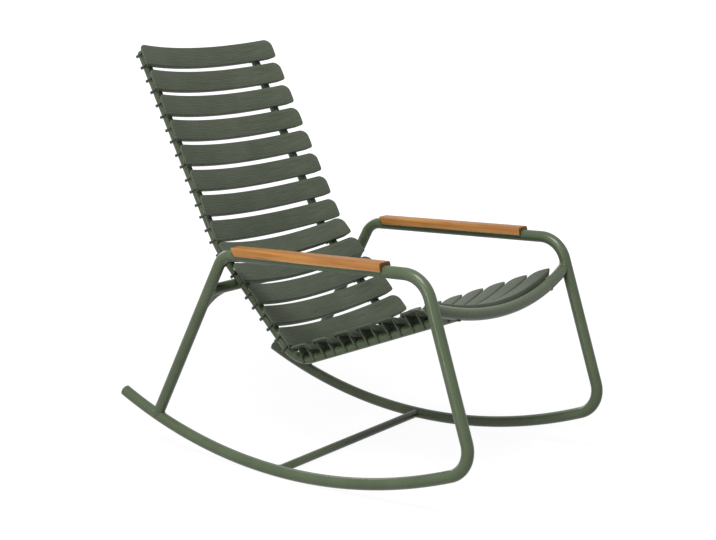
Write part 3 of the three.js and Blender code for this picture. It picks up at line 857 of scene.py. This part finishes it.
def upright_edges(bm, rearward):
    """The short edges at the plate's two rear or two front corners."""
    return [
        edge
        for edge in bm.edges
        if abs(edge.verts[0].co.z - edge.verts[1].co.z) > SLAT_PLATE
        and abs(abs(edge.verts[0].co.y) - SLAT_WIDTH / 2) < MM
        and abs(abs(edge.verts[0].co.x) - SLAT_LENGTH / 2) < MM
        and (edge.verts[0].co.y > 0) == rearward
    ]


def flat_edges(bm, height):
    """The boundary edges of the flat faces that lie at a height."""
    level = [f for f in bm.faces if all(abs(v.co.z - height) < SAME_PLACE for v in f.verts)]
    edges = [edge for face in level for edge in face.edges]
    return [edge for edge in edges if edge.calc_face_angle(0) > SHARP_FROM]


def slice_across(bm, place, normal):
    bmesh.ops.bisect_plane(
        bm, geom=bm.verts[:] + bm.edges[:] + bm.faces[:],
        dist=SAME_PLACE, plane_co=place, plane_no=normal,
    )


def write_slat_map(bm, flat):
    """Gives each face corner its place on the slat's own map."""
    layer = bm.loops.layers.uv.new("slat")
    for face in bm.faces:
        for loop in face.loops:
            loop[layer].uv = flat(loop.vert.co)


def lay_along(bm, verts, direction, place):
    """Turns what lies flat in its own frame to a side-view direction and moves it to a place."""
    tilt = math.atan2(-direction.y, direction.x)
    bmesh.ops.transform(bm, matrix=Matrix.Rotation(tilt, 4, "X"), verts=verts)
    bmesh.ops.translate(bm, verts=verts, vec=place)


def slat_shell():
    """The dished plate with its rim and hollow underside."""
    depth = SLAT_FRONT_RIM
    bm = bmesh.new()
    size = Matrix.Diagonal((SLAT_LENGTH, SLAT_WIDTH, depth, 1))
    bmesh.ops.create_cube(bm, size=1, matrix=Matrix.Translation((0, 0, -depth / 2)) @ size)
    rear_edges = upright_edges(bm, rearward=True)
    round_edges(bm, rear_edges, SLAT_REAR_CORNER, SLAT_REAR_CORNER_STEPS)
    front_edges = upright_edges(bm, rearward=False)
    round_edges(bm, front_edges, SLAT_FRONT_CORNER, SLAT_FRONT_CORNER_STEPS)
    underside = [f for f in bm.faces if f.normal.z < -0.9]
    bmesh.ops.inset_region(bm, faces=underside, thickness=SLAT_RIM_WIDTH, use_even_offset=True)
    hollow = bmesh.ops.extrude_face_region(bm, geom=underside)
    bmesh.ops.translate(bm, verts=verts_of(hollow["geom"]), vec=(0, 0, depth - SLAT_PLATE))
    bmesh.ops.delete(bm, geom=[f for f in underside if f.is_valid], context="FACES_ONLY")
    round_edges(bm, flat_edges(bm, 0), SLAT_TOP_EDGE, SLAT_TOP_EDGE_STEPS)
    round_edges(bm, flat_edges(bm, -depth), SLAT_RIM_EDGE, FINE_EDGE_STEPS)
    for index in range(-SLAT_SLICES_PER_HALF, SLAT_SLICES_PER_HALF + 1):
        slice_across(bm, (index * SLAT_SLICE, 0, 0), (1, 0, 0))
    for row in SLAT_ROWS:
        slice_across(bm, (0, row, 0), (0, 1, 0))
    bmesh.ops.recalc_face_normals(bm, faces=bm.faces[:])
    write_slat_map(bm, lambda co: co.xy)
    for vert in bm.verts:
        x, y, z = vert.co
        share = min(max((z + SLAT_PLATE) / (SLAT_PLATE - depth), 0), 1)
        if share > 0:
            z = -SLAT_PLATE - share * (rim_depth(x, y) - SLAT_PLATE)
        drop = smooth(-y, SLAT_WIDTH / 2 - SLAT_NOSE_WIDTH, SLAT_WIDTH / 2)
        nose = SLAT_NOSE * drop * (1 - share)
        vert.co.z = z - nose + SLAT_MIDDLE_RISE + dish(x)
    return bm


clip_inner = RAIL_R + GAP
clip_outer = clip_inner + CLIP_WALL


def plate_level(x):
    """Height of the middle of a slat's plate over the rails' centreline."""
    return SLAT_MIDDLE_RISE + dish(x) - SLAT_PLATE / 2


def clip(grip, lip):
    """A clip in its own frame at x = 0: a web that widens to the slat, and arms round the rail."""
    reach = clip_outer + CLIP_FLARE
    waist = clip_outer + CLIP_WAIST_FLARE
    waist_level = CLIP_WAIST_LEVEL * plate_level(RAIL_X)
    round_part = grip * CLIP_ROUND_SHARE
    tip = heading(-grip) * (clip_outer + lip)
    inner_tip = heading(-grip) * clip_inner
    last = heading(math.pi + round_part) * clip_outer
    outline = Outline(reach, plate_level(RAIL_X + reach))
    outline.to(waist, waist_level).to(clip_outer, 0)
    outline.arc((0, 0), -round_part, CLIP_SIDE_STEPS).to(*tip)
    outline.to(*inner_tip).arc((0, 0), math.pi + 2 * grip, CLIP_BORE_STEPS).to(-tip.x, tip.y)
    outline.to(*last).arc((0, 0), -round_part, CLIP_SIDE_STEPS)
    outline.to(-waist, waist_level).to(-reach, plate_level(RAIL_X - reach))
    bm = outline.thicken(CLIP_LENGTH)
    round_edges(bm, rim_edges(bm), CLIP_EDGE, FINE_EDGE_STEPS)
    bmesh.ops.translate(bm, verts=bm.verts[:], vec=(0, 0, -CLIP_LENGTH / 2))
    if lip:
        for vert in bm.verts:
            widening = smooth(-vert.co.y, LIP_FROM, LIP_FULL)
            vert.co.z *= 1 + (LIP_LENGTH / CLIP_LENGTH - 1) * widening
    upright = Matrix.Rotation(math.pi / 2, 3, "X")
    bmesh.ops.rotate(bm, verts=bm.verts[:], cent=(0, 0, 0), matrix=upright)
    write_slat_map(bm, lambda co: co.xz)
    return bm


def on_rail(point, direction):
    """The rail's centreline beside a point of its corner-to-corner line, with its heading."""
    for piece in (back_bend, seat_bend):
        before = (piece.start - piece.centre).normalized()
        spoke = (point - piece.centre).normalized()
        after_start = math.atan2(before.cross(spoke), before.dot(spoke))
        if 0 < after_start < piece.turn:
            return piece.centre + spoke * piece.radius, left_of(spoke)
    return point, direction


def slat_places():
    """Each slat's kind, its middle on the rails' corner-to-corner line, and the line's heading."""
    for index in range(UPPER_SLATS):
        down = UPPER_SLAT_INSET + index * UPPER_SLAT_PITCH
        yield "back_slat", rail_top + upper_down * down, upper_down
    for index in reversed(range(LOWER_SLATS)):
        up = LOWER_SLAT_OFFSET + index * LOWER_SLAT_PITCH
        yield "back_slat", SEAT_CORNER - lower_down * up, lower_down
    for index in range(SEAT_SLATS):
        forward = SEAT_SLAT_OFFSET + index * SEAT_SLAT_PITCH
        yield "seat_slat", SEAT_CORNER + seat_forward * forward, seat_forward


def outward_twin(mesh):
    """The same clip for the chair's other side."""
    bm = bmesh.new()
    bm.from_mesh(mesh)
    bmesh.ops.scale(bm, vec=(-1, 1, 1), verts=bm.verts[:])
    bmesh.ops.reverse_faces(bm, faces=bm.faces[:])
    return new_mesh("stock", bm)


def make_slats():
    """Every slat, with its two clips on each rail, from one shell and two kinds of clip."""
    shell = new_mesh("stock", slat_shell())
    grips = {"back_slat": (BACK_CLIP_GRIP, BACK_CLIP_LIP), "seat_slat": (SEAT_CLIP_GRIP, 0)}
    clips = {}
    for kind, (grip, lip) in grips.items():
        left_clip = new_mesh("stock", clip(grip, lip))
        clips[kind] = {1: left_clip, -1: outward_twin(left_clip)}
    counts = {"back_slat": 0, "seat_slat": 0}
    for kind, origin, direction in slat_places():
        counts[kind] += 1
        number = f"{counts[kind]:02d}"
        bm = bmesh.new()
        bm.from_mesh(shell)
        lay_along(bm, bm.verts[:], direction, space(0, origin))
        for step in (-CLIP_SPACING / 2, CLIP_SPACING / 2):
            point, along = on_rail(origin + direction * step, direction)
            for _, side in SIDES:
                before = set(bm.verts)
                bm.from_mesh(clips[kind][side])
                added = [v for v in bm.verts if v not in before]
                lay_along(bm, added, along, space(side * RAIL_X, point))
        piece = finish_mesh(f"{kind}_moulding_{number}", bm, slat_plastic)
        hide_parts(f"{kind}_{number}")


make_slats()


# Arm caps
def make_arm_cap(name, x):
    """A wooden channel over the arm tube, in its own frame: x across, y up, z rearward."""
    half = CAP_WIDTH / 2
    top = FRAME_R + CAP_ABOVE_TUBE
    shoulder_x = half - CAP_SHOULDER
    shoulder_y = top - CAP_SHOULDER
    groove = FRAME_R + GAP
    start = math.asin(CAP_SKIRT_RISE / groove)
    lip = CAP_SKIRT_RISE + CAP_LIP_CHAMFER
    quarter = math.pi / 2
    outline = Outline(half - CAP_LIP_CHAMFER, CAP_SKIRT_RISE).to(half, lip).to(half, shoulder_y)
    outline.arc((shoulder_x, shoulder_y), quarter, CAP_SHOULDER_STEPS).to(-shoulder_x, top)
    outline.arc((-shoulder_x, shoulder_y), quarter, CAP_SHOULDER_STEPS).to(-half, lip)
    outline.to(CAP_LIP_CHAMFER - half, CAP_SKIRT_RISE)
    outline.to(-groove * math.cos(start), CAP_SKIRT_RISE)
    outline.arc((0, 0), 2 * start - math.pi, CAP_GROOVE_STEPS)
    bm = outline.thicken(CAP_LENGTH)
    for vert in bm.verts:
        share = (vert.co.y - CAP_SKIRT_RISE) / (top - CAP_SKIRT_RISE) - 0.5
        vert.co.z += share * (CAP_REAR_LEAN if vert.co.z > CAP_LENGTH / 2 else CAP_FRONT_LEAN)
    round_edges(bm, rim_edges(bm), CAP_EDGE, EDGE_STEPS)
    up = space_direction(arm_up)
    back = space_direction(arm_back)
    place = space(x, FRONT_CORNER + arm_back * CAP_FRONT_BACK)
    bmesh.ops.transform(bm, matrix=basis(up.cross(back), up, back, place), verts=bm.verts[:])
    piece = finish_mesh(f"arm_cap_wood_{name}", bm, arm_wood)
    piece.data.materials.append(end_grain_and_shade)
    piece.data.materials.append(lip_highlight)
    for face in piece.data.polygons:
        at_end = abs(face.normal.y) > 0.7
        on_lower_lip = face.normal.z < -0.5 and abs(face.center.x - x) > groove
        # End faces take the end grain, darkened further with painted shade
        if at_end:
            face.material_index = 1
        # The downward lower lip faces take the pale painted highlight
        elif on_lower_lip:
            face.material_index = 2
    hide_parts(f"arm_cap_{name}")


for side_name, sign in SIDES:
    make_arm_cap(side_name, sign * FRAME_X)


# Gussets under the rear cross tube's ends
def make_gusset(name, x):
    """A web in its own frame: x inboard along the tube, y up the leg."""
    inboard = Vector((-math.copysign(1, x), 0, 0))
    up = -space_direction(rear_leg_down)
    edge = FRAME_R + GUSSET_END_DEPTH
    edge_start = Vector((GUSSET_INBOARD, -edge))
    corner = Vector((edge, -edge))
    edge_end = Vector((edge, -GUSSET_DOWN))
    outline = Outline(0, 0).to(GUSSET_INBOARD, 0).to(*edge_start)
    for index in range(1, GUSSET_STEPS + 1):
        share = index / GUSSET_STEPS
        outline.to(*edge_start.lerp(corner, share).lerp(corner.lerp(edge_end, share), share))
    outline.to(0, -GUSSET_DOWN)
    bm = outline.thicken(GUSSET_THICKNESS)
    round_edges(bm, rim_edges(bm), GUSSET_EDGE, EDGE_STEPS)
    bmesh.ops.translate(bm, verts=bm.verts[:], vec=(0, 0, -GUSSET_THICKNESS / 2))
    matrix = basis(inboard, up, inboard.cross(up), space(x, rear_tube))
    bmesh.ops.transform(bm, matrix=matrix, verts=bm.verts[:])
    bmesh.ops.recalc_face_normals(bm, faces=bm.faces[:])
    piece = finish_mesh(f"rear_gusset_plate_{name}", bm, frame_paint)
    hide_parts(f"rear_gusset_{name}")


for side_name, sign in SIDES:
    make_gusset(side_name, sign * FRAME_X)


# Carried-over nodes keep their shape and get their finish
for node_name, cad_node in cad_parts.items():
    for word, finish in (("plug", plug_plastic), ("screw", screw_steel)):
        if word in node_name:
            cad_node.data.materials.clear()
            cad_node.data.materials.append(finish)


# Floor, backdrop and light. White rays see the floor glow, all white from FLOOR_FAR outward
FLOOR_SIZE = 60
FLOOR_DROP = 0.2 * MM
FLOOR_TONE = (0.45, 0.45, 0.45, 1)
FLOOR_GLOW = 1.17
FLOOR_GLOW_NEAR = 0.81
FLOOR_NEAR = 1.3
FLOOR_FAR = 2.6
WORLD_STRENGTH = 0.15


def white_ray(tree):
    """1 for the rays of the camera, gloss and glass, which see a white studio, else 0."""
    path = tree.nodes.new("ShaderNodeLightPath")
    total = path.outputs["Is Camera Ray"]
    for kind in ("Is Glossy Ray", "Is Transmission Ray"):
        total = maths(tree, "MAXIMUM", total, path.outputs[kind])
    return total


def distance_out(tree):
    """How far a point of the floor lies from the chair's middle."""
    length = tree.nodes.new("ShaderNodeVectorMath")
    length.operation = "LENGTH"
    tree.links.new(object_place(tree), length.inputs[0])
    return length.outputs["Value"]


def make_floor():
    bm = bmesh.new()
    bmesh.ops.create_grid(bm, x_segments=1, y_segments=1, size=FLOOR_SIZE / 2)
    bmesh.ops.translate(bm, verts=bm.verts[:], vec=(0, 0, SHIFT.z - FLOOR_DROP))
    floor = new_object("floor", new_mesh("floor", bm))
    material, tree, shader = new_material("floor")
    feed(tree, shader, Base_Color=FLOOR_TONE, Roughness=0.9, Specular_IOR_Level=0.1)
    glow = node(tree, "ShaderNodeEmission", Strength=FLOOR_GLOW)
    blend = tree.nodes.new("ShaderNodeMixShader")
    white_share = span(tree, distance_out(tree), FLOOR_NEAR, FLOOR_FAR, FLOOR_GLOW_NEAR, 1)
    white = maths(tree, "MULTIPLY", white_share, white_ray(tree))
    for slot, value in zip(blend.inputs, (white, shader.outputs["BSDF"], glow.outputs["Emission"])):
        set_input(tree, slot, value)
    feed(tree, tree.nodes["Material Output"], Surface=blend.outputs["Shader"])
    floor.data.materials.append(material)


make_floor()

world = bpy.data.worlds.new("studio")
scene.world = world
world.use_nodes = True
world_tree = world.node_tree
background = world_tree.nodes["Background"]
studio = span(world_tree, white_ray(world_tree), 0, 1, WORLD_STRENGTH, 1)
feed(world_tree, background, Strength=studio, Color=(1, 1, 1, 1))


def area_light(name, place, aim, size, power):
    data = bpy.data.lights.new(name, "AREA")
    data.shape = "RECTANGLE"
    data.size, data.size_y = size
    data.energy = power
    lamp = new_object(name, data)
    lamp.location = place
    lamp.rotation_euler = (Vector(aim) - Vector(place)).to_track_quat("-Z", "Y").to_euler()


CHAIR_MIDDLE = (0, 0, 0.4)
area_light("key", (-2.1, -0.95, 3.6), aim=CHAIR_MIDDLE, size=(1.6, 1.6), power=172)
area_light("strip", (-3.3, -0.25, 0.75), aim=(0, -0.1, 0.6), size=(0.35, 1.4), power=34)
area_light("back", (1.7, 3.5, 1.7), aim=CHAIR_MIDDLE, size=(1.6, 1.6), power=42)

scene.view_settings.view_transform = "Standard"
